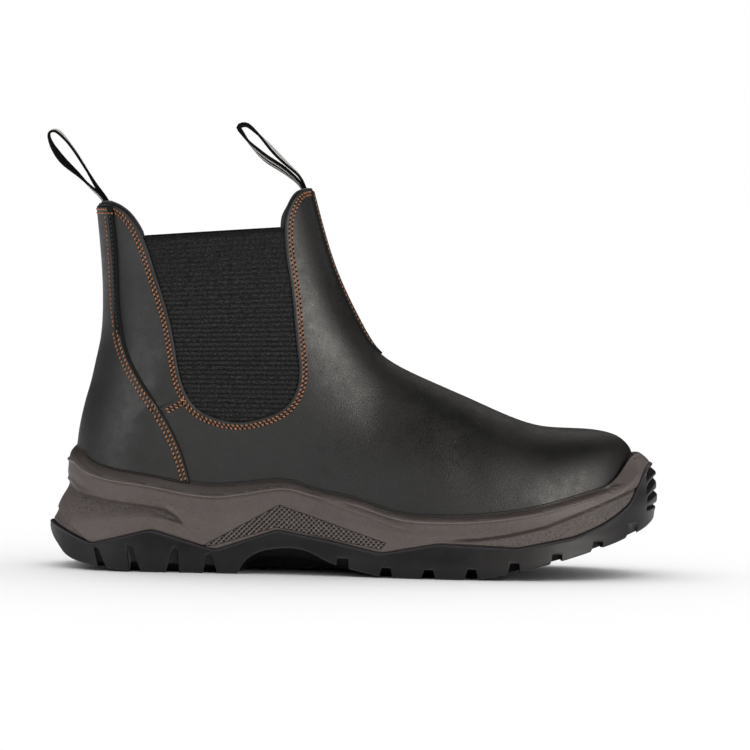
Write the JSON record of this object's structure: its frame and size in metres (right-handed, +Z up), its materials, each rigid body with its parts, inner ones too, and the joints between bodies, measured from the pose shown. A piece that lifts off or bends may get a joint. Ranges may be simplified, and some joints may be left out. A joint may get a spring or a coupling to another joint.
{
  "type": "pull-on safety boot",
  "caption": "Ankle-high black leather safety boot for the right foot, with elastic side gussets, pull loops and a thick lugged sole.",
  "frame": {"origin": "middle of the boot's box, on the plane that its heel and forefoot stand on", "axes": "+X to the toe, -Y to the outer side of the foot, +Z up"},
  "size_m": [0.3067, 0.1057, 0.2211],
  "materials": {
    "upper": "satin, oiled",
    "heel_panel": "satin, oiled",
    "front_strip": "satin, oiled",
    "gusset_outer": "ribbed, matte",
    "gusset_inner": "ribbed, matte",
    "midsole": "pebbled foam skin",
    "outsole": "satin",
    "insole": "matte",
    "pull_loop_back": "woven tape",
    "pull_loop_front": "woven tape"
  },
  "bodies": {
    "root": {"upper": "upper", "heel_panel": "heel_panel", "front_strip": "front_strip", "gusset_outer": "gusset_outer", "gusset_inner": "gusset_inner", "midsole": "midsole", "outsole": "outsole", "insole": "insole", "pull_loop_back": "pull_loop_back", "pull_loop_front": "pull_loop_front"}
  },
  "joints": []
}
